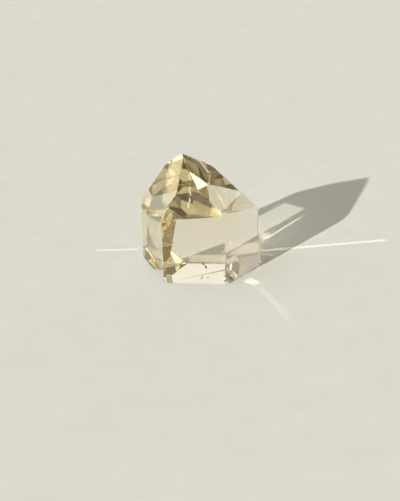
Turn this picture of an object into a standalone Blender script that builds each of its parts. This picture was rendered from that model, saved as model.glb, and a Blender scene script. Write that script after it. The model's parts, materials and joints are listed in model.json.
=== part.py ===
"""Citrine tower: a clear, pale golden quartz crystal, ground and polished to a short six-sided point.

Metres, +Z up. The origin is on the table top, under the middle of the stone, and -Y is the front, the
side with the widest clear face. The tower is one piece of stone. It is made here as a lapidary makes it:
a rough block is ground flat, facet after facet, until the point is done, and then the old knocks that
the stone has taken are struck out of its lower edges.
"""
import math
from collections import namedtuple

import bmesh
import bpy
from mathutils import Matrix, Vector

MM = 0.001

# The rough block. It only has to be larger than the stone, and its underside is the polished base.
BLOCK_SIDE = 90 * MM
BLOCK_HEIGHT = 60 * MM

# Corners nearer than this to a cut are taken as on it.
CUT_TOLERANCE = 0.001 * MM

# One ground facet. turn is the way that it faces, in degrees round from the front towards +X. rise is how
# far it faces up from level, in degrees: 0 on an upright side and 45 on a roof. reach is its distance in
# millimetres from the middle of the base.
Facet = namedtuple("Facet", "turn rise reach")

# The prism: six sides, as quartz grows. They are near 60 degrees apart, and each leans a little.
FRONT = Facet(turn=-3.0, rise=-0.5, reach=15.5)
RIGHT_FRONT = Facet(turn=53.5, rise=4.0, reach=18.5)
RIGHT_BACK = Facet(turn=116.0, rise=2.5, reach=22.9)
BACK = Facet(turn=180.0, rise=-9.5, reach=14.7)
LEFT_BACK = Facet(turn=-127.5, rise=2.0, reach=18.5)
LEFT_FRONT = Facet(turn=-60.5, rise=-2.0, reach=19.6)
SIDES = (FRONT, RIGHT_FRONT, RIGHT_BACK, BACK, LEFT_BACK, LEFT_FRONT)

# The point: three broad facets in front and five behind, which meet left of the middle.
TOP_FRONT = Facet(turn=-12.0, rise=38.0, reach=36.7)
TOP_LEFT = Facet(turn=-61.0, rise=30.0, reach=32.3)
TOP_RIGHT = Facet(turn=66.5, rise=43.5, reach=31.5)
TOP_RIGHT_BACK = Facet(turn=109.0, rise=44.0, reach=33.3)
TOP_RIGHT_FAR = Facet(turn=147.0, rise=36.0, reach=31.2)
TOP_BACK = Facet(turn=-177.5, rise=33.5, reach=25.5)
TOP_FAR = Facet(turn=-175.5, rise=42.5, reach=31.0)
TOP_LEFT_BACK = Facet(turn=-102.0, rise=32.5, reach=34.7)
CROWN = (TOP_FRONT, TOP_LEFT, TOP_RIGHT, TOP_RIGHT_BACK, TOP_RIGHT_FAR, TOP_BACK, TOP_FAR, TOP_LEFT_BACK)

# Two facets that undercut the left side, so that the stone stands on its right three quarters.
UNDERCUT_BACK = Facet(turn=-139.5, rise=-40.5, reach=10.9)
UNDERCUT_LEFT = Facet(turn=-88.5, rise=-65.5, reach=5.6)
UNDERCUTS = (UNDERCUT_BACK, UNDERCUT_LEFT)

# The narrow flat that polishing leaves along every edge that turns by more than EDGE_ANGLE degrees.
EDGE_FLAT = 0.12 * MM
EDGE_ANGLE = 3

# A knock breaks quartz as it breaks glass, in a shallow bowl with faint rings round the point of the blow.
# side and side_b are the two facets whose edge was struck, height is how far up that edge, and out is the
# way and distance from the edge to the middle of the bowl's ball, in millimetres. blow is the way from
# that middle to the point of the blow, and spread is how many degrees the bowl reaches round from there.
Knock = namedtuple("Knock", "name side side_b height out radius blow spread")
KNOCKS = (
    Knock("front_knock", FRONT, RIGHT_FRONT, 5.3, (10.3, -4.0, 0.9), 12.0, (-0.76, 0.4, -0.52), 60),
    Knock("foot_knock", FRONT, RIGHT_FRONT, 2.3, (3.1, -3.7, 0.2), 6.0, (-0.5, 0.7, -0.5), 62),
    Knock("right_knock", RIGHT_FRONT, RIGHT_BACK, 3.2, (3.1, 0.4, 0.3), 3.45, (-0.9, -0.1, -0.43), 54),
    Knock("left_knock", LEFT_FRONT, LEFT_BACK, 28.6, (-1.98, -0.25, 1.24), 2.6, (0.85, 0.1, -0.5), 36),
)
RING_SPACING = 1.3 * MM
RING_HEIGHT = 0.015 * MM
RING_STEP = 0.24 * MM
SPOKES = 44

# The notch that is broken out under the left front side, as a wedge that runs from front to back.
# Its profile is across the stone in millimetres, from its upright inner wall to the open side.
NOTCH_WALL = -0.35
NOTCH_PROFILE = ((0.0, -1.0), (0.0, 5.2), (-4.9, 1.9), (-9.0, -1.0))
NOTCH_LENGTH = 60 * MM

# The stone's looks: clear quartz with a pale straw gold colour and a polished skin.
STRAW_GOLD = (0.93, 0.84, 0.62, 1)
POLISH = 0.02
QUARTZ_IOR = 1.546


def facing(facet):
    """The outward direction of a facet, from its two angles."""
    turn = math.radians(facet.turn)
    rise = math.radians(facet.rise)
    level = math.cos(rise)
    return Vector((math.sin(turn) * level, -math.cos(turn) * level, math.sin(rise)))


def edge_point(side, side_b, height):
    """The point on the edge between two sides at a height in metres."""
    normal, normal_b = facing(side), facing(side_b)
    across = Matrix(((normal.x, normal.y), (normal_b.x, normal_b.y)))
    room = Vector((side.reach * MM - normal.z * height, side_b.reach * MM - normal_b.z * height))
    level = across.inverted() @ room
    return Vector((level.x, level.y, height))


def rough_block():
    """A closed block that stands on the ground, as a bmesh."""
    stone = bmesh.new()
    size = Matrix.Diagonal((BLOCK_SIDE, BLOCK_SIDE, BLOCK_HEIGHT, 1))
    place = Matrix.Translation((0, 0, BLOCK_HEIGHT / 2))
    bmesh.ops.create_cube(stone, size=1, matrix=place @ size)
    return stone


def grind(stone, facet):
    """Cuts away all that lies outside one facet and closes the stone with the new flat."""
    outward = facing(facet)
    cut = bmesh.ops.bisect_plane(
        stone,
        geom=stone.verts[:] + stone.edges[:] + stone.faces[:],
        dist=CUT_TOLERANCE,
        plane_co=outward * facet.reach * MM,
        plane_no=outward,
        clear_outer=True,
    )
    rim = [part for part in cut["geom_cut"] if isinstance(part, bmesh.types.BMEdge)]
    bmesh.ops.contextual_create(stone, geom=rim)


def middle_of_box(stone):
    """The level middle of the stone's box, on the ground."""
    xs = [vertex.co.x for vertex in stone.verts]
    ys = [vertex.co.y for vertex in stone.verts]
    return Vector(((min(xs) + max(xs)) / 2, (min(ys) + max(ys)) / 2, 0))


def polished_point():
    """The tower with all its facets, as an object, and the shift that put its middle over the origin."""
    stone = rough_block()
    for facet in SIDES + CROWN + UNDERCUTS:
        grind(stone, facet)
    shift = -middle_of_box(stone)
    bmesh.ops.translate(stone, vec=shift, verts=stone.verts[:])
    bmesh.ops.recalc_face_normals(stone, faces=stone.faces[:])
    mesh = bpy.data.meshes.new("citrine_tower")
    stone.to_mesh(mesh)
    stone.free()
    return linked("citrine_tower", mesh), shift


def linked(name, mesh):
    """A new object in the scene with the given mesh."""
    thing = bpy.data.objects.new(name, mesh)
    bpy.context.scene.collection.objects.link(thing)
    return thing


def bowl_point(knock, angle, spoke):
    """A point of the bowl, at an angle from the blow and on one spoke, in metres from the ball's middle."""
    arc = knock.radius * MM * angle
    depth = knock.radius * MM + RING_HEIGHT * math.sin(2 * math.pi * arc / RING_SPACING)
    turn = 2 * math.pi * spoke / SPOKES
    along = Vector((math.sin(angle) * math.cos(turn), math.sin(angle) * math.sin(turn), math.cos(angle)))
    return Vector(knock.blow).to_track_quat("Z", "Y") @ along * depth


def bowl_mesh(knock):
    """The closed body of a struck bowl: a ringed cap round the blow, joined to the middle of its ball."""
    rings = round(math.radians(knock.spread) * knock.radius * MM / RING_STEP)
    bowl = bmesh.new()
    pole = bowl.verts.new(bowl_point(knock, 0, 0))
    middle = bowl.verts.new((0, 0, 0))
    last = None
    for ring in range(1, rings + 1):
        angle = math.radians(knock.spread) * ring / rings
        row = [bowl.verts.new(bowl_point(knock, angle, spoke)) for spoke in range(SPOKES)]
        for spoke in range(SPOKES):
            after = (spoke + 1) % SPOKES
            if last is None:
                bowl.faces.new((pole, row[spoke], row[after]))
            else:
                bowl.faces.new((last[spoke], row[spoke], row[after], last[after]))
        last = row
    for spoke in range(SPOKES):
        bowl.faces.new((middle, last[(spoke + 1) % SPOKES], last[spoke]))
    bmesh.ops.recalc_face_normals(bowl, faces=bowl.faces[:])
    mesh = bpy.data.meshes.new(knock.name)
    bowl.to_mesh(mesh)
    bowl.free()
    return mesh


def notch_mesh():
    """The closed wedge that is broken out under the left front side."""
    wall = edge_point(FRONT, LEFT_FRONT, 0).x + NOTCH_WALL * MM
    wedge = bmesh.new()
    ends = []
    for y in (-NOTCH_LENGTH / 2, NOTCH_LENGTH / 2):
        ends.append([wedge.verts.new((wall + x * MM, y, z * MM)) for x, z in NOTCH_PROFILE])
    near, far = ends
    wedge.faces.new(near)
    wedge.faces.new(far[::-1])
    for index in range(len(NOTCH_PROFILE)):
        after = (index + 1) % len(NOTCH_PROFILE)
        wedge.faces.new((near[index], far[index], far[after], near[after]))
    bmesh.ops.recalc_face_normals(wedge, faces=wedge.faces[:])
    mesh = bpy.data.meshes.new("left_notch")
    wedge.to_mesh(mesh)
    wedge.free()
    return mesh


def strike(tower, cutter):
    """Takes a cutter out of the tower with a Boolean and hides the cutter."""
    cutter.hide_render = True
    cutter.display_type = "WIRE"
    cut = tower.modifiers.new(cutter.name, "BOOLEAN")
    cut.operation = "DIFFERENCE"
    cut.solver = "EXACT"
    cut.object = cutter


def flatten_edges(tower):
    """Gives every edge between two facets its narrow polished flat."""
    flat = tower.modifiers.new("edge_flats", "BEVEL")
    flat.width = EDGE_FLAT
    flat.segments = 1
    flat.limit_method = "ANGLE"
    flat.angle_limit = math.radians(EDGE_ANGLE)


def clear_citrine():
    """Clear quartz with a pale straw gold colour."""
    stone = bpy.data.materials.new("clear_citrine")
    stone.use_nodes = True
    shader = stone.node_tree.nodes["Principled BSDF"]
    shader.inputs["Base Color"].default_value = STRAW_GOLD
    shader.inputs["Roughness"].default_value = POLISH
    shader.inputs["Metallic"].default_value = 0.0
    shader.inputs["IOR"].default_value = QUARTZ_IOR
    shader.inputs["Transmission Weight"].default_value = 1.0
    return stone


def remove_everything():
    """Empties the scene."""
    for thing in list(bpy.data.objects):
        bpy.data.objects.remove(thing, do_unlink=True)


remove_everything()
tower, shift = polished_point()
tower.data.materials.append(clear_citrine())
flatten_edges(tower)
notch = linked("left_notch", notch_mesh())
notch.location = shift
strike(tower, notch)
for knock in KNOCKS:
    bowl = linked(knock.name, bowl_mesh(knock))
    bowl.location = edge_point(knock.side, knock.side_b, knock.height * MM) + Vector(knock.out) * MM + shift
    strike(tower, bowl)
print("stone moved by", [round(value / MM, 2) for value in shift], "mm to centre it")
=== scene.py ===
# %% [markdown]
# A citrine tower is a piece of pale golden quartz that has been ground flat on every side and polished
# to a short point. Nothing on its surface tells the eye what it is made of. What a viewer sees is the
# room and the table, bent and mirrored by flat facets and warmed a little by the golden stone. So this
# lesson puts its care into four things: true facets, a material that bends light as quartz does, the
# small flaws inside the stone, and a room with bright and dark sides for the facets to pick up.

import json
import math

import bpy
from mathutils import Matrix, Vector

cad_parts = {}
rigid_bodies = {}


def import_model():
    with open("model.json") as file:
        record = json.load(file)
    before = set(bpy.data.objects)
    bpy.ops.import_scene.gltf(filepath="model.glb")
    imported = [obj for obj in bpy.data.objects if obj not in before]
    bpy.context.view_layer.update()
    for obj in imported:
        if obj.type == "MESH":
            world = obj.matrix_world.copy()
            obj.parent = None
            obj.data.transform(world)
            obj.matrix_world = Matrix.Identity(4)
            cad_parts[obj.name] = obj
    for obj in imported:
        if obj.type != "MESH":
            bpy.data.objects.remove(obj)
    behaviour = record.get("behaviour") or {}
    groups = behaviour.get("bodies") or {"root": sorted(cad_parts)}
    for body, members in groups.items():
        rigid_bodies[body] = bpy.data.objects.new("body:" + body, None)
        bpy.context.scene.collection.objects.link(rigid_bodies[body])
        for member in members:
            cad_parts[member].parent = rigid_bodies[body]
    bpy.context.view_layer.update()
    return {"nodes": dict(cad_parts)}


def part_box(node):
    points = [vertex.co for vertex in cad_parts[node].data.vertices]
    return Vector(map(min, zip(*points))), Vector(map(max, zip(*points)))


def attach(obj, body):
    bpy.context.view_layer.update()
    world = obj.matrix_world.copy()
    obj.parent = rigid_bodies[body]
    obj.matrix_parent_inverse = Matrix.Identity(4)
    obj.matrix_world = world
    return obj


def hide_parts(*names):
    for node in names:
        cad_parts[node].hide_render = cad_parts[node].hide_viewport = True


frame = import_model()
MM = 0.001
stone_low, stone_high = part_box("citrine_tower")
print("stone measures", [round((b - a) / MM, 1) for a, b in zip(stone_low, stone_high)], "mm")

# %% [markdown]
# The camera looks down on the stone at 25.2 degrees, from over half a metre away, through a long lens. A
# long lens keeps the upright edges of the stone nearly parallel. The camera is placed by the point of the
# table that its axis meets, a little way behind the stone, so one distance moves it without turning it.

# %% Camera
CAMERA_LENS = 128.07
SENSOR_WIDTH = 36
CAMERA_PITCH = math.radians(25.18)
CAMERA_DISTANCE = 585.8 * MM
CAMERA_AIM = Vector((-0.77, 14.14, 0)) * MM
NEAREST_SEEN = 10 * MM


def add_camera():
    """The camera, drawn back from its aim along a line that falls at the camera's pitch."""
    data = bpy.data.cameras.new("camera")
    data.lens = CAMERA_LENS
    data.sensor_width = SENSOR_WIDTH
    data.sensor_fit = "HORIZONTAL"
    data.clip_start = NEAREST_SEEN
    camera = bpy.data.objects.new("camera", data)
    bpy.context.scene.collection.objects.link(camera)
    back_off = Vector((0, -math.cos(CAMERA_PITCH), math.sin(CAMERA_PITCH)))
    camera.location = CAMERA_AIM + back_off * CAMERA_DISTANCE
    camera.rotation_euler = (math.pi / 2 - CAMERA_PITCH, 0, 0)
    bpy.context.scene.camera = camera
    return camera


camera = add_camera()
print("camera stands at", [round(value / MM, 1) for value in camera.location], "mm")

# %% [markdown]
# Every material below is a small net of nodes. Three helpers keep the nets readable: one makes a new
# material with an empty net, one adds a node and sets its values by name in the same line, and one joins
# two sockets.


# %% Helpers for node nets
def new_material(name):
    """A material with an empty net, and the net."""
    material = bpy.data.materials.new(name)
    material.use_nodes = True
    material.node_tree.nodes.clear()
    return material, material.node_tree


def add_node(net, kind, inputs=None, **settings):
    """A node of the given kind. The settings are its own, and the inputs are values of unlinked sockets."""
    node = net.nodes.new(kind)
    for name, value in settings.items():
        setattr(node, name, value)
    for name, value in (inputs or {}).items():
        node.inputs[name].default_value = value
    return node


def join_sockets(net, source, target):
    """A link from one socket to another."""
    net.links.new(source, target)


print("node helpers are ready")

# %% [markdown]
# A clear stone shows the floor through its own body, so what lies under it matters as much as the stone.
# Right under the base the floor is dimmer and browner, because less light reaches it. The shade could be
# a second object, but then its rim would show. So it is a mask in the floor's own material: 1 under the
# base, and 0 a little way past its edges.

# %% Shade under the stone
UNDER_MIDDLE = (1.0, 1.0)
UNDER_REACH = (13.0, 12.4)
UNDER_FADE = 1.2
UNDER_SHADE = (0.48, 0.415, 0.26, 1)


def under_stone(net, place):
    """The socket that is 1 on the floor under the stone's base and falls to 0 at its edges."""
    sides = []
    for axis, middle, reach in zip("XY", UNDER_MIDDLE, UNDER_REACH):
        shift = add_node(net, "ShaderNodeMath", {1: middle * MM}, operation="SUBTRACT")
        size = add_node(net, "ShaderNodeMath", operation="ABSOLUTE")
        edge = add_node(net, "ShaderNodeMapRange", {"From Min": reach * MM, "To Min": 1.0, "To Max": 0.0})
        edge.inputs["From Max"].default_value = (reach + UNDER_FADE) * MM
        join_sockets(net, place.outputs[axis], shift.inputs[0])
        join_sockets(net, shift.outputs["Value"], size.inputs[0])
        join_sockets(net, size.outputs["Value"], edge.inputs["Value"])
        sides.append(edge.outputs["Result"])
    both = add_node(net, "ShaderNodeMath", operation="MULTIPLY")
    join_sockets(net, sides[0], both.inputs[0])
    join_sockets(net, sides[1], both.inputs[1])
    return both.outputs["Value"]


print("shade is", [2 * reach for reach in UNDER_REACH], "mm wide and deep")

# %% [markdown]
# The facets also gather light into patches under the stone. Tracing such light would take very long, so
# it is drawn. The patches have straight edges, as the facets have, and they are long along the lamp's
# direction. The cells of a Voronoi pattern have straight edges too. So stretched cells of uneven light
# stand in for the patches, with one brighter pool at the back right. They show only through the stone.

# %% Light gathered under the stone
CELL_SIZE = 3.6 * MM
CELL_STRETCH = 2.2
CELL_HEADING = math.radians(-40.5)
CELL_DARK_SHARE = 0.25
CELL_LIGHT = 0.72
POOL_MIDDLE = (11.6, 9.8)
POOL_REACH = 5.2 * MM
POOL_CORE_SHARE = 0.7
POOL_LIGHT = 0.50
GATHERED_TINT = (1.0, 0.885, 0.60, 1)


def cell_light(net, place):
    """The socket that carries the stretched cells. A quarter of them stay dark, and the rest differ."""
    drawn = add_node(net, "ShaderNodeMapping", {"Scale": (1.0, CELL_STRETCH, 1.0)}, vector_type="TEXTURE")
    drawn.inputs["Rotation"].default_value = (0, 0, CELL_HEADING)
    cells = add_node(net, "ShaderNodeTexVoronoi", {"Scale": 1 / CELL_SIZE})
    parts = add_node(net, "ShaderNodeSeparateColor")
    cell = add_node(net, "ShaderNodeMapRange", {"From Min": CELL_DARK_SHARE, "To Max": CELL_LIGHT})
    join_sockets(net, place, drawn.inputs["Vector"])
    join_sockets(net, drawn.outputs["Vector"], cells.inputs["Vector"])
    join_sockets(net, cells.outputs["Color"], parts.inputs["Color"])
    join_sockets(net, parts.outputs["Red"], cell.inputs["Value"])
    return cell.outputs["Result"]


def pool_light(net, place):
    """The socket that carries one round pool of light with a narrow soft rim."""
    away = add_node(net, "ShaderNodeVectorMath", operation="DISTANCE")
    away.inputs[1].default_value = (POOL_MIDDLE[0] * MM, POOL_MIDDLE[1] * MM, 0)
    pool = add_node(net, "ShaderNodeMapRange", {"To Min": POOL_LIGHT, "To Max": 0.0})
    pool.inputs["From Min"].default_value = POOL_REACH * POOL_CORE_SHARE
    pool.inputs["From Max"].default_value = POOL_REACH
    join_sockets(net, place, away.inputs[0])
    join_sockets(net, away.outputs["Value"], pool.inputs["Value"])
    return pool.outputs["Result"]


def gathered_light(net, place, under):
    """The socket that carries the cells and the pool together, and nothing past the stone's base."""
    total = add_node(net, "ShaderNodeMath", operation="ADD")
    kept = add_node(net, "ShaderNodeMath", operation="MULTIPLY")
    join_sockets(net, cell_light(net, place), total.inputs[0])
    join_sockets(net, pool_light(net, place), total.inputs[1])
    join_sockets(net, total.outputs["Value"], kept.inputs[0])
    join_sockets(net, under, kept.inputs[1])
    return kept.outputs["Value"]


print("cells are", CELL_SIZE / MM, "mm wide and", CELL_STRETCH, "times as long")

# %% [markdown]
# The table is a plain pale floor. It is a warm light grey with a faint mottling and a fine grain, made
# by two noises, one wide and one fine. It lies a hair below the stone's base, so that the two surfaces
# don't share one plane.

# %% Floor
FLOOR_SIDE = 8.0
FLOOR_GAP = 0.03 * MM
FLOOR_TONE = (0.72, 0.73, 0.70, 1)
FLOOR_DEEP_TONE = (0.56, 0.57, 0.545, 1)
FLOOR_ROUGHNESS = 0.9
GRAIN_SIZE = 0.8 * MM
GRAIN_DEPTH = 0.1 * MM
GRAIN_STRENGTH = 0.35
MOTTLE_SIZE = 14 * MM


def mottled_tone(net, place, grain):
    """The socket that carries the floor's tone: half of it follows wide clouds and half the fine grain."""
    mottle = add_node(net, "ShaderNodeTexNoise", {"Scale": 1 / MOTTLE_SIZE, "Detail": 6, "Roughness": 0.6})
    tone = add_node(net, "ShaderNodeMix", data_type="RGBA")
    tone.inputs[6].default_value = FLOOR_DEEP_TONE
    tone.inputs[7].default_value = FLOOR_TONE
    mixed = add_node(net, "ShaderNodeMath", {1: 0.5}, operation="MULTIPLY_ADD")
    halved = add_node(net, "ShaderNodeMath", {1: 0.5}, operation="MULTIPLY")
    join_sockets(net, place, mottle.inputs["Vector"])
    join_sockets(net, grain.outputs["Fac"], halved.inputs[0])
    join_sockets(net, mottle.outputs["Fac"], mixed.inputs[0])
    join_sockets(net, halved.outputs["Value"], mixed.inputs[2])
    join_sockets(net, mixed.outputs["Value"], tone.inputs["Factor"])
    return tone.outputs[2]


def floor_material():
    """Pale matt ground with faint clouds and a fine grain, and the shade and light under the stone."""
    material, net = new_material("pale_ground")
    output = add_node(net, "ShaderNodeOutputMaterial")
    skin = add_node(net, "ShaderNodeBsdfPrincipled", {"Roughness": FLOOR_ROUGHNESS})
    skin.inputs["Emission Color"].default_value = GATHERED_TINT
    place = add_node(net, "ShaderNodeTexCoord").outputs["Object"]
    grain = add_node(net, "ShaderNodeTexNoise", {"Scale": 1 / GRAIN_SIZE, "Detail": 3, "Roughness": 0.7})
    bump = add_node(net, "ShaderNodeBump", {"Strength": GRAIN_STRENGTH, "Distance": GRAIN_DEPTH})
    split = add_node(net, "ShaderNodeSeparateXYZ")
    ground = add_node(net, "ShaderNodeMix", data_type="RGBA", blend_type="MULTIPLY")
    ground.inputs[7].default_value = UNDER_SHADE
    join_sockets(net, place, grain.inputs["Vector"])
    join_sockets(net, place, split.inputs["Vector"])
    under = under_stone(net, split)
    join_sockets(net, under, ground.inputs["Factor"])
    join_sockets(net, mottled_tone(net, place, grain), ground.inputs[6])
    join_sockets(net, ground.outputs[2], skin.inputs["Base Color"])
    join_sockets(net, gathered_light(net, place, under), skin.inputs["Emission Strength"])
    join_sockets(net, grain.outputs["Fac"], bump.inputs["Height"])
    join_sockets(net, bump.outputs["Normal"], skin.inputs["Normal"])
    join_sockets(net, skin.outputs["BSDF"], output.inputs["Surface"])
    return material


bpy.ops.object.select_all(action="DESELECT")
bpy.ops.mesh.primitive_plane_add(size=FLOOR_SIDE, location=(0, 0, -FLOOR_GAP))
floor = bpy.context.object
floor.name = "floor"
floor.data.materials.append(floor_material())
print("floor is", FLOOR_SIDE, "m wide")

# %% [markdown]
# One lamp stands low at the front left, as a low sun does. It gives the stone's shadow, which can be seen
# through the stone itself. It is a distant lamp of small width, so the edges of the shadow stay crisp
# near the stone and soften only a little farther out.

# %% Key lamp
KEY_HEADING = math.radians(40.5)
KEY_FALL = math.radians(21.1)
KEY_WIDTH = math.radians(0.8)
KEY_POWER = 5.25
KEY_TINT = (1.0, 0.97, 0.90)


def add_key_lamp():
    """A distant lamp whose light travels back and to the right, and falls a little."""
    data = bpy.data.lights.new("key_lamp", "SUN")
    data.energy = KEY_POWER
    data.angle = KEY_WIDTH
    data.color = KEY_TINT
    lamp = bpy.data.objects.new("key_lamp", data)
    bpy.context.scene.collection.objects.link(lamp)
    level = Vector((math.sin(KEY_HEADING), math.cos(KEY_HEADING), 0)) * math.cos(KEY_FALL)
    beam = level - Vector((0, 0, math.sin(KEY_FALL)))
    lamp.rotation_euler = beam.to_track_quat("-Z", "Y").to_euler()
    return lamp


key_lamp = add_key_lamp()
key_beam = key_lamp.matrix_basis.to_3x3() @ Vector((0, 0, -1))
print("key lamp shines along", [round(value, 2) for value in key_beam])

# %% [markdown]
# A clear stone doesn't throw a plain dark shadow. It bends part of the lamp's light into the shadow, as
# one broad beige patch and a few thin streaks, and throws some beside it. Blender's path tracing can't
# find such light from a small lamp, so narrow lamps round the stone stand in for it. Each is a thin
# upright sheet of light that runs down to the floor, and only the floor receives it. The patch matters
# most, because the stone's left faces look at it.

# %% Light let through the stone
# A row gives the two ends of the middle line on the floor and the width, in mm, and then the strength.
PASSED_LIGHT = (
    ("broad_patch", (13.5, 25.5), (41.0, 60.5), 11.0, 4.4),
    ("bright_streak", (25.1, 23.5), (43.0, 48.3), 0.9, 6.5),
    ("white_spot", (24.5, 26.5), (28.0, 31.0), 4.0, 5.5),
    ("long_streak", (24.7, 14.0), (76.6, 24.5), 1.8, 4.0),
    ("front_spot", (17.5, -12.5), (21.5, -16.5), 4.5, 4.5),
    ("close_patch", (5.5, 16.2), (5.5, 25.5), 20.0, 3.6),
    ("left_streak", (-26.5, 15.4), (-44.0, 14.4), 1.6, 2.6),
    ("short_streak", (25.0, 11.0), (29.5, 9.0), 1.0, 4.0),
    ("low_streak", (23.0, -20.0), (32.5, -46.5), 2.6, 0.9),
)
PASSED_TINT = (1.0, 0.93, 0.78)
PASSED_SPREAD = math.radians(1.6)
PASSED_LIFT = 0.5 * MM


def add_passed_light(name, near, far, width, strength):
    """A lamp whose narrow beam falls from the stone's side and lights one strip of the floor."""
    near = Vector((*near, 0)) * MM
    far = Vector((*far, 0)) * MM
    along = (far - near).normalized()
    beam = along * math.cos(KEY_FALL) - Vector((0, 0, math.sin(KEY_FALL)))
    rise = along * math.sin(KEY_FALL) + Vector((0, 0, math.cos(KEY_FALL)))
    height = (far - near).length * math.sin(KEY_FALL)
    data = bpy.data.lights.new(name, "AREA")
    data.shape = "RECTANGLE"
    data.size = width * MM
    data.size_y = height
    data.spread = PASSED_SPREAD
    data.energy = strength * width * MM * height
    data.color = PASSED_TINT
    lamp = bpy.data.objects.new(name, data)
    bpy.context.scene.collection.objects.link(lamp)
    lowest = near - beam * (PASSED_LIFT / math.sin(KEY_FALL))
    lamp.location = lowest + rise * height / 2
    lamp.rotation_euler = beam.to_track_quat("-Z", "Y").to_euler()
    lamp.visible_camera = False
    lamp.visible_glossy = False
    lamp.visible_transmission = False
    return lamp


for row in PASSED_LIGHT:
    lamp = add_passed_light(*row)
    print(lamp.name, "stands at", [round(value / MM, 1) for value in lamp.location], "mm")

# %% [markdown]
# The rest of the light is the room. Each facet shows one small part of it, so a room of one even tone
# would make a dull grey stone. This one is painted from a dim warm base tone and pale panels, as a studio
# is set up with white screens. Two broad ones stand behind and to the left, and the front and the right
# stay dim. The small windows and glows each brighten the one or two facets that look at them: the white
# flash below the tip, the cream crown at the left, or a low facet near the base.

# %% Room of soft panels
# A row gives the turn and the rise of a panel's middle, how far from it the full light reaches and where
# the light has died away, all in degrees, and then the level.
ROOM_PANELS = (
    ("back_screen", 18, 10, 28, 32, 0.63),
    ("left_screen", -100, 23, 37, 40, 0.74),
    ("high_window", -62, 66, 18, 22, 0.78),
    ("flash_window", -39, 35.5, 3.0, 4.2, 2.4),
    ("crown_window", -107, 53, 6, 10, 1.2),
    ("low_left_window", -98, 7, 6, 9, 0.9),
    ("front_left_screen", -137, 33, 8, 14, 0.85),
    ("low_right_window", 93, 2, 5, 8, 0.9),
    ("back_glow", 2, 33, 6, 10, 0.15),
    ("right_glow", -48, 39, 3.0, 4.5, 0.18),
    ("back_right_screen", 57, 33, 8, 14, 0.35),
    ("window_glow", -33, 30, 16, 31, 0.16),
    ("low_window", -61, 5, 6, 11, 0.48),
    ("right_screen", 117, 22, 6, 21, 0.33),
)
ROOM_BASE_TONE = (0.20, 0.17, 0.125)
SCREEN_TINT = (0.975, 1.0, 0.965)


def heading(turn, rise):
    """The direction at a turn from straight back towards the right, and at a rise above the table."""
    turn = math.radians(turn)
    rise = math.radians(rise)
    return Vector((math.sin(turn) * math.cos(rise), math.cos(turn) * math.cos(rise), math.sin(rise)))


def add_panel(net, look, name, turn, rise, full, end, level):
    """The socket that carries one panel's light, which fades from its full edge to its end."""
    toward = add_node(net, "ShaderNodeVectorMath", {1: heading(turn, rise)}, operation="DOT_PRODUCT")
    toward.label = name
    fade = add_node(net, "ShaderNodeMapRange", {"To Max": level}, interpolation_type="SMOOTHSTEP")
    fade.inputs["From Min"].default_value = math.cos(math.radians(end))
    fade.inputs["From Max"].default_value = math.cos(math.radians(full))
    join_sockets(net, look.outputs["Generated"], toward.inputs[0])
    join_sockets(net, toward.outputs["Value"], fade.inputs["Value"])
    return fade.outputs["Result"]


def room_world():
    """A room that shines with its base tone and the sum of its panels."""
    world = bpy.data.worlds.new("studio_room")
    world.use_nodes = True
    net = world.node_tree
    net.nodes.clear()
    look = add_node(net, "ShaderNodeTexCoord")
    light = add_node(net, "ShaderNodeCombineXYZ", dict(zip("XYZ", ROOM_BASE_TONE)))
    total = light.outputs["Vector"]
    for panel in ROOM_PANELS:
        screen = add_node(net, "ShaderNodeVectorMath", {0: SCREEN_TINT}, operation="SCALE")
        both = add_node(net, "ShaderNodeVectorMath", operation="ADD")
        join_sockets(net, add_panel(net, look, *panel), screen.inputs["Scale"])
        join_sockets(net, total, both.inputs[0])
        join_sockets(net, screen.outputs["Vector"], both.inputs[1])
        total = both.outputs["Vector"]
    shine = add_node(net, "ShaderNodeBackground", {"Strength": 1.0})
    output = add_node(net, "ShaderNodeOutputWorld")
    join_sockets(net, total, shine.inputs["Color"])
    join_sockets(net, shine.outputs["Background"], output.inputs["Surface"])
    bpy.context.scene.world = world
    return world


room_world()
print("room has", len(ROOM_PANELS), "soft panels")

# %% [markdown]
# Clear quartz is a see-through material with an index of refraction of 1.546. Light that meets a facet
# from inside at a slant is mirrored completely, and it may bounce a dozen times before it finds a way
# out. The golden tone could be painted on the surface, but the stone has it inside: it is absorbed along
# the way, so long paths are browner. Polishing leaves fine drag marks, which are a stretched noise here.

# %% Clear citrine
QUARTZ_IOR = 1.546
STRAW_TONE = (0.93, 0.81, 0.42, 1)
STRAW_DEPTH = 12.0
SCRATCH_WIDTH = 0.25 * MM
SCRATCH_STRETCH = (1.0, 1.0, 0.08)
SCRATCH_TILT = (0.3, 0.2, 0)
SCRATCH_LEAST = 0.5
SCRATCH_MOST = 0.9
SCRATCH_ROUGHNESS = 0.04


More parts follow.
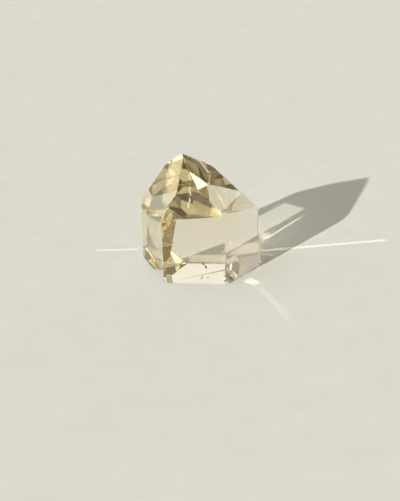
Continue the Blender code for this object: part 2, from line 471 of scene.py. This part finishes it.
def citrine_material():
    """Polished clear quartz with fine polishing marks, and golden absorption inside."""
    material, net = new_material("clear_citrine")
    output = add_node(net, "ShaderNodeOutputMaterial")
    clear = add_node(net, "ShaderNodeBsdfPrincipled", {"Base Color": (1, 1, 1, 1), "IOR": QUARTZ_IOR})
    clear.inputs["Transmission Weight"].default_value = 1.0
    place = add_node(net, "ShaderNodeTexCoord")
    drag = add_node(net, "ShaderNodeMapping", {"Scale": SCRATCH_STRETCH, "Rotation": SCRATCH_TILT})
    marks = add_node(net, "ShaderNodeTexNoise", {"Scale": 1 / SCRATCH_WIDTH, "Detail": 2, "Roughness": 0.5})
    wear = add_node(net, "ShaderNodeMapRange", {"From Min": SCRATCH_LEAST, "From Max": SCRATCH_MOST})
    wear.inputs["To Max"].default_value = SCRATCH_ROUGHNESS
    join_sockets(net, place.outputs["Object"], drag.inputs["Vector"])
    join_sockets(net, drag.outputs["Vector"], marks.inputs["Vector"])
    join_sockets(net, marks.outputs["Fac"], wear.inputs["Value"])
    join_sockets(net, wear.outputs["Result"], clear.inputs["Roughness"])
    straw = add_node(net, "ShaderNodeVolumeAbsorption", {"Color": STRAW_TONE, "Density": STRAW_DEPTH})
    join_sockets(net, clear.outputs["BSDF"], output.inputs["Surface"])
    join_sockets(net, straw.outputs["Volume"], output.inputs["Volume"])
    return material


clear_citrine = citrine_material()
print(clear_citrine.name, "bends light with an index of", QUARTZ_IOR)

# %% [markdown]
# The stone itself is the frame's own solid. A lapidary grinds each facet on a flat lap, so every facet
# must stay flat, and the only soft shading belongs to the broken places. The frame's mesh comes as loose
# triangles, so a copy is made and its corners are merged before anything else is done to it.

# %% The polished stone
MERGE_REACH = 0.002 * MM


def polished_stone():
    """A copy of the frame's stone, with its loose triangles merged and its ground faces left flat."""
    bpy.ops.object.select_all(action="DESELECT")
    stone = bpy.data.objects.new("clear_tower", frame["nodes"]["citrine_tower"].data.copy())
    bpy.context.scene.collection.objects.link(stone)
    stone.data.materials.clear()
    stone.data.materials.append(clear_citrine)
    stone.select_set(True)
    bpy.context.view_layer.objects.active = stone
    bpy.ops.object.mode_set(mode="EDIT")
    bpy.ops.mesh.select_mode(type="FACE")
    bpy.ops.mesh.select_all(action="SELECT")
    bpy.ops.mesh.remove_doubles(threshold=MERGE_REACH)
    bpy.ops.mesh.select_all(action="DESELECT")
    bpy.ops.object.mode_set(mode="OBJECT")
    return stone


stone = polished_stone()
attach(stone, "root")
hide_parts("citrine_tower")
print("stone has", len(stone.data.vertices), "corners and", len(stone.data.polygons), "faces")

# %% [markdown]
# Quartz breaks in smooth shallow bowls with faint rings, as thick glass does. Such a bowl bends light in
# one sweep only if its small faces share their slopes. So the faces whose corners all lie on the ball of
# a knock are picked out by place, shaded smooth, and fenced off from the flat facets with sharp edges.

# %% Smooth breaks
# A row gives the middle of the knock's ball and its radius, in mm.
KNOCK_BALLS = (
    ("front_knock", (20.21, -21.12, 6.20), 12.0),
    ("foot_knock", (13.28, -20.80, 2.50), 6.0),
    ("right_knock", (26.66, 1.49, 3.50), 3.45),
    ("left_knock", (-25.75, -2.44, 29.84), 2.6),
)
ON_BALL = 0.03 * MM


def lies_on_ball(mesh, face, middle, radius):
    """Whether all the corners of a face lie on a ball."""
    gaps = [abs((mesh.vertices[corner].co - middle).length - radius) for corner in face.vertices]
    return max(gaps) < ON_BALL


def smooth_break(stone, middle, radius):
    """Shades one knock smooth, marks its rim as sharp, and counts its faces."""
    picked = 0
    for face in stone.data.polygons:
        face.select = lies_on_ball(stone.data, face, middle, radius)
        picked += face.select
    bpy.ops.object.mode_set(mode="EDIT")
    bpy.ops.mesh.faces_shade_smooth()
    bpy.ops.mesh.region_to_loop()
    bpy.ops.mesh.mark_sharp()
    bpy.ops.mesh.select_mode(type="FACE")
    bpy.ops.mesh.select_all(action="DESELECT")
    bpy.ops.object.mode_set(mode="OBJECT")
    return picked


for name, middle, radius in KNOCK_BALLS:
    print(name, "has", smooth_break(stone, Vector(middle) * MM, radius * MM), "smooth faces")

# %% [markdown]
# A real citrine isn't empty glass. This one has a few rusty specks, crack flakes that flash gold, and
# faint veils where old cracks have healed, with a fan of strips at the right that is painted light. They
# are looks only, and each kind is one object. Every flaw is added in edit mode to its own open mesh, so
# only the newest one is selected and can be stretched, turned and made uneven. Their places are in
# millimetres, inside the stone.

# %% Helpers for flaws
FLECK_SIZE = 0.4 * MM
FLECK_SHADE = 0.55


def start_flaws(name):
    """An empty mesh object at the origin, open in edit mode."""
    bpy.ops.object.select_all(action="DESELECT")
    flaws = bpy.data.objects.new(name, bpy.data.meshes.new(name))
    bpy.context.scene.collection.objects.link(flaws)
    flaws.select_set(True)
    bpy.context.view_layer.objects.active = flaws
    bpy.ops.object.mode_set(mode="EDIT")
    bpy.ops.mesh.select_mode(type="VERT")
    return flaws


def finish_flaws(flaws, material, soft_below):
    """Closes edit mode, gives the flaws their material, and hands them to the stone's body."""
    bpy.ops.object.mode_set(mode="OBJECT")
    bpy.ops.object.shade_smooth_by_angle(angle=soft_below)
    flaws.data.materials.append(material)
    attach(flaws, "root")
    print(flaws.name, "has", len(flaws.data.polygons), "faces")


def flaw_material(name, tone, metallic, roughness):
    """An uneven solid material whose tone is mottled between itself and a darker shade."""
    material, net = new_material(name)
    output = add_node(net, "ShaderNodeOutputMaterial")
    skin = add_node(net, "ShaderNodeBsdfPrincipled", {"Metallic": metallic, "Roughness": roughness})
    place = add_node(net, "ShaderNodeTexCoord")
    mottle = add_node(net, "ShaderNodeTexNoise", {"Scale": 1 / FLECK_SIZE, "Detail": 3})
    tones = add_node(net, "ShaderNodeMix", data_type="RGBA")
    tones.inputs[6].default_value = (*(value * FLECK_SHADE for value in tone), 1)
    tones.inputs[7].default_value = (*tone, 1)
    join_sockets(net, place.outputs["Object"], mottle.inputs["Vector"])
    join_sockets(net, mottle.outputs["Fac"], tones.inputs["Factor"])
    join_sockets(net, tones.outputs[2], skin.inputs["Base Color"])
    join_sockets(net, skin.outputs["BSDF"], output.inputs["Surface"])
    return material


print("flaw helpers are ready")

# %% [markdown]
# Rusty specks are grains of iron oxide that the crystal closed in as it grew. Most lie low behind the
# front face, in two small groups. A plain ball would look like a bubble. So each one is a ball that is
# drawn out to a grain, turned its own way, and pushed about all over its skin.

# %% Rusty specks
# A row gives the place and the length, in mm, and the turn in degrees.
RUSTY_SPECKS = (
    ((0.6, -11.9, 7.3), 1.3, 60),
    ((1.7, -11.9, 5.9), 1.2, 10),
    ((1.3, -11.9, 6.7), 0.7, 110),
    ((0.2, -14.5, 2.4), 0.8, 35),
    ((-0.3, -14.5, 1.7), 0.7, 60),
    ((2.2, -14.6, 2.1), 0.6, 80),
    ((2.8, -14.6, 2.3), 0.5, 15),
    ((4.4, -13.9, 3.6), 0.5, 90),
    ((-12.0, -13.2, 14.9), 0.5, 0),
    ((-0.9, -9.5, 6.2), 0.4, 50),
    ((5.9, -12.6, 6.1), 0.4, 120),
)
RUST = (0.16, 0.085, 0.03)
RUST_ROUGHNESS = 0.7
SPECK_SHAPE = (0.5, 0.35, 1.0)
SPECK_UNEVENNESS = 0.12
SPECK_SOFT_BELOW = math.radians(50)


def add_speck(place, length, turn, seed):
    """One rusty grain: a ball that is drawn out, turned, and pushed about all over its skin."""
    bpy.ops.mesh.select_all(action="DESELECT")
    bpy.ops.mesh.primitive_ico_sphere_add(subdivisions=2, radius=length / 2, location=place)
    bpy.ops.transform.resize(value=SPECK_SHAPE, center_override=place)
    bpy.ops.transform.rotate(value=math.radians(turn), orient_axis="Y", center_override=place)
    bpy.ops.transform.vertex_random(offset=length * SPECK_UNEVENNESS, seed=seed, wait_for_input=False)


specks = start_flaws("rusty_specks")
for seed, (place, length, turn) in enumerate(RUSTY_SPECKS):
    add_speck(Vector(place) * MM, length * MM, turn, seed)
finish_flaws(specks, flaw_material("rusty_iron", RUST, 0.0, RUST_ROUGHNESS), SPECK_SOFT_BELOW)

# %% [markdown]
# A small crack inside quartz holds a film of air, and mirrors light like foil from one side. Each flake
# is a disc that is extruded by a hair, narrowed at its far side and made uneven. It is tipped forwards and
# turned to the left, to face halfway between the viewer and the bright left side, so that it flashes.

# %% Crack flakes
# A row gives the place, the width and the height, in mm, and the turn in degrees.
GOLD_FLAKES = (
    ((-14.0, -14.1, 24.3), (0.8, 4.2), 4),
    ((-13.1, -13.2, 19.6), (0.6, 1.1), -20),
    ((-11.8, -13.2, 17.9), (0.5, 0.9), 35),
    ((-11.2, -13.2, 16.6), (0.4, 1.0), 10),
    ((0.4, -0.3, 41.3), (1.1, 0.7), 30),
    ((1.4, -3.2, 37.8), (0.7, 3.4), -12),
    ((14.9, -3.6, 5.2), (2.6, 1.6), 0),
    ((-0.2, -0.8, 41.7), (0.6, 0.6), 50),
    ((0.6, -0.7, 39.7), (0.8, 0.6), -40),
    ((4.0, -8.9, 34.1), (0.5, 0.8), 60),
)
FLAKE_CORNERS = 14
FLAKE_THICKNESS = 0.04 * MM
FLAKE_NARROWING = 0.8
FLAKE_UNEVENNESS = 0.05 * MM
FLAKE_TIP = math.radians(-60)
FLAKE_TURN = math.radians(40)
FLAKE_GOLD = (1.0, 0.66, 0.22)
FLAKE_ROUGHNESS = 0.12
FLAKE_SOFT_BELOW = math.radians(40)


def add_flake(place, size, turn, seed):
    """One crack flake: a disc of the given width and height, with a narrowed far side."""
    bpy.ops.mesh.select_all(action="DESELECT")
    bpy.ops.mesh.primitive_circle_add(
        vertices=FLAKE_CORNERS, radius=0.5, fill_type="TRIFAN", location=place)
    bpy.ops.transform.resize(value=(size[0], size[1], 1), center_override=place)
    bpy.ops.transform.rotate(value=math.radians(turn), orient_axis="Z", center_override=place)
    bpy.ops.mesh.extrude_region_move(TRANSFORM_OT_translate={"value": (0, 0, FLAKE_THICKNESS)})
    bpy.ops.transform.resize(value=(FLAKE_NARROWING, FLAKE_NARROWING, 1), center_override=place)
    bpy.ops.mesh.select_linked()
    bpy.ops.transform.vertex_random(offset=FLAKE_UNEVENNESS, seed=seed, wait_for_input=False)
    bpy.ops.transform.rotate(value=FLAKE_TIP, orient_axis="X", center_override=place)
    bpy.ops.transform.rotate(value=FLAKE_TURN, orient_axis="Z", center_override=place)


flakes = start_flaws("gold_flakes")
for seed, (place, size, turn) in enumerate(GOLD_FLAKES):
    add_flake(Vector(place) * MM, [value * MM for value in size], turn, seed)
finish_flaws(flakes, flaw_material("gold_flash", FLAKE_GOLD, 1.0, FLAKE_ROUGHNESS), FLAKE_SOFT_BELOW)

# %% [markdown]
# Veils are old cracks that have healed. They are thinner than paper and show only as pale or gold wisps
# that come and go along their length. So their material is a satin film that is see-through where a
# stretched noise is low, and no outline shows. The film also glows faintly in its own tone, which is
# painted light, and the painted light streaks below are made of the same film.

# %% Glowing film of healed cracks and light streaks
WISP_SIZE = 1.1 * MM
WISP_STRETCH = (1.0, 0.3, 0.3)
WISP_START = 0.45
WISP_FULL = 0.65
VEIL_ROUGHNESS = 0.35
# Painted glow: the strength of the light that the film gives off in its own tone.
FILM_PAINTED_GLOW = 0.45


def glowing_film_material(name, tone, most):
    """A satin film with a faint painted glow, see-through where a fine noise is low, covering at most the
    given share.
    """
    material, net = new_material(name)
    output = add_node(net, "ShaderNodeOutputMaterial")
    film = add_node(net, "ShaderNodeBsdfPrincipled", {"Roughness": VEIL_ROUGHNESS})
    film.inputs["Base Color"].default_value = (*tone, 1)
    # Painted light: the film glows in its own tone, though it is no lamp.
    film.inputs["Emission Color"].default_value = (*tone, 1)
    film.inputs["Emission Strength"].default_value = FILM_PAINTED_GLOW
    place = add_node(net, "ShaderNodeTexCoord")
    drawn = add_node(net, "ShaderNodeMapping", {"Scale": WISP_STRETCH})
    wisps = add_node(net, "ShaderNodeTexNoise", {"Scale": 1 / WISP_SIZE, "Detail": 4, "Roughness": 0.65})
    cover = add_node(net, "ShaderNodeMapRange", {"From Min": WISP_START, "From Max": WISP_FULL})
    cover.inputs["To Max"].default_value = most
    join_sockets(net, place.outputs["Object"], drawn.inputs["Vector"])
    join_sockets(net, drawn.outputs["Vector"], wisps.inputs["Vector"])
    join_sockets(net, wisps.outputs["Fac"], cover.inputs["Value"])
    join_sockets(net, cover.outputs["Result"], film.inputs["Alpha"])
    join_sockets(net, film.outputs["BSDF"], output.inputs["Surface"])
    return material


print("wisps are", WISP_SIZE / MM, "mm across")

# %% [markdown]
# The strips are made twice, pale and gold. One tall pale veil stands left of the middle, and the short
# ones are healed cracks too, the gold ones where iron has stained the crack. The fan of both kinds at the
# right is painted light: strips that stand for streaks of light on the floor behind the stone, seen
# through it. Each strip starts as a plane that is flattened to a single edge. The edge is extruded from
# place to place, and then the strip is made uneven and gets a hair of thickness.

# %% Healed veils and painted light streaks
# A row gives a strip's places and its width, in mm, and the axis along which its plane is flattened.
PALE_VEILS_AND_LIGHT_STREAKS = (
    (((-4.5, -7.7, 42.3), (-4.6, -11.3, 36.2), (-4.9, -10.8, 30.9)), 0.9, "Y"),
    (((9.0, -12.8, 17.0), (10.8, -10.4, 15.2), (12.2, -8.7, 14.3), (14.6, -5.4, 14.9)), 1.6, "X"),
    (((-10.0, -14.3, 18.6), (-8.0, -14.4, 18.7), (-6.2, -14.5, 18.3)), 1.2, "X"),
    # The last three rows are the fan: painted light that stands for streaks of light on the floor.
    (((7.6, -10.8, 28.7), (5.9, -8.0, 31.2), (3.7, -5.2, 34.8)), 0.5, "Y"),
    (((8.0, -10.3, 28.6), (8.4, -7.6, 29.6), (7.7, -1.6, 32.5)), 0.5, "Y"),
    (((7.2, -11.2, 28.8), (4.4, -9.0, 32.2)), 0.5, "Y"),
)
GOLD_STREAKS = (
    (((-18.5, -8.0, 25.5), (-16.9, -10.7, 24.2), (-15.3, -13.4, 22.4)), 1.2, "Y"),
    (((1.8, -0.3, 38.7), (1.5, -3.2, 37.8), (1.2, -6.1, 36.9)), 0.9, "Y"),
    # The rows from here on are the fan: painted light that stands for streaks of light on the floor.
    (((7.9, -10.9, 28.6), (10.4, -6.8, 28.0), (12.8, -2.4, 28.2)), 0.7, "Y"),
    (((7.0, -11.6, 28.9), (5.2, -8.6, 31.9)), 0.5, "Y"),
    (((8.3, -11.3, 28.9), (13.0, -2.4, 26.6), (17.5, 6.0, 24.0)), 1.1, "Y"),
    (((9.2, -10.6, 27.9), (14.0, -4.2, 24.8), (18.3, 2.0, 22.0)), 1.4, "Y"),
    (((8.0, -11.0, 28.6), (7.0, -7.0, 31.1), (6.2, -3.4, 33.2)), 0.6, "Y"),
    (((8.2, -10.8, 28.5), (9.6, -7.0, 29.6), (10.6, -4.4, 30.0)), 0.8, "Y"),
)
VEIL_CUTS = 2
VEIL_THICKNESS = 0.02 * MM
VEIL_UNEVENNESS = 0.10 * MM
VEIL_SEED = 7
VEIL_SOFT_BELOW = math.radians(60)
# The two film tones colour the healed veils and also the painted light of the fan.
PALE_VEIL_AND_STREAK_TONE = (0.95, 0.93, 0.86)
PALE_COVER = 0.8
GOLD_VEIL_AND_STREAK_TONE = (0.95, 0.66, 0.20)
GOLD_COVER = 0.65


def add_veil(places, width, flattened):
    """One strip: a plane that is flattened to an edge along one axis, and extruded from place to place."""
    places = [Vector(place) * MM for place in places]
    flat = (0, 1, 1) if flattened == "X" else (1, 0, 1)
    bpy.ops.mesh.select_all(action="DESELECT")
    bpy.ops.mesh.primitive_plane_add(size=width * MM, location=places[0])
    bpy.ops.transform.resize(value=flat, center_override=places[0])
    bpy.ops.mesh.remove_doubles(threshold=MERGE_REACH)
    for place, after in zip(places, places[1:]):
        bpy.ops.mesh.extrude_region_move(TRANSFORM_OT_translate={"value": after - place})


def finish_veils(veils, material):
    """Makes the strips uneven, gives them a hair of thickness, and hands them to the stone's body."""
    bpy.ops.mesh.select_all(action="SELECT")
    bpy.ops.mesh.subdivide(number_cuts=VEIL_CUTS)
    bpy.ops.transform.vertex_random(offset=VEIL_UNEVENNESS, seed=VEIL_SEED, wait_for_input=False)
    bpy.ops.object.mode_set(mode="OBJECT")
    bpy.ops.object.modifier_add(type="SOLIDIFY")
    film_thickness = bpy.context.object.modifiers[-1]
    film_thickness.thickness = VEIL_THICKNESS
    bpy.ops.object.modifier_apply(modifier=film_thickness.name)
    bpy.ops.object.mode_set(mode="EDIT")
    finish_flaws(veils, material, VEIL_SOFT_BELOW)


for name, rows, tone, most in (
    ("pale_veils_and_light_streaks", PALE_VEILS_AND_LIGHT_STREAKS, PALE_VEIL_AND_STREAK_TONE, PALE_COVER),
    ("gold_streaks", GOLD_STREAKS, GOLD_VEIL_AND_STREAK_TONE, GOLD_COVER),
):
    veils = start_flaws(name)
    for row in rows:
        add_veil(*row)
    finish_veils(veils, glowing_film_material(name, tone, most))

# %% [markdown]
# Blender stops following a ray after a few bounces, and a ray that stops inside the stone turns black.
# Complete mirroring inside counts as a glossy bounce, so that limit is raised with the others. The plain
# view transform keeps the pale tones of the floor and of the stone as they are lit.

# %% Light paths
PATH_BOUNCES = 36
scene = bpy.context.scene
scene.view_settings.view_transform = "Standard"
scene.cycles.max_bounces = PATH_BOUNCES
scene.cycles.glossy_bounces = PATH_BOUNCES
scene.cycles.transmission_bounces = PATH_BOUNCES
scene.cycles.transparent_max_bounces = PATH_BOUNCES
print("rays may bounce", PATH_BOUNCES, "times")
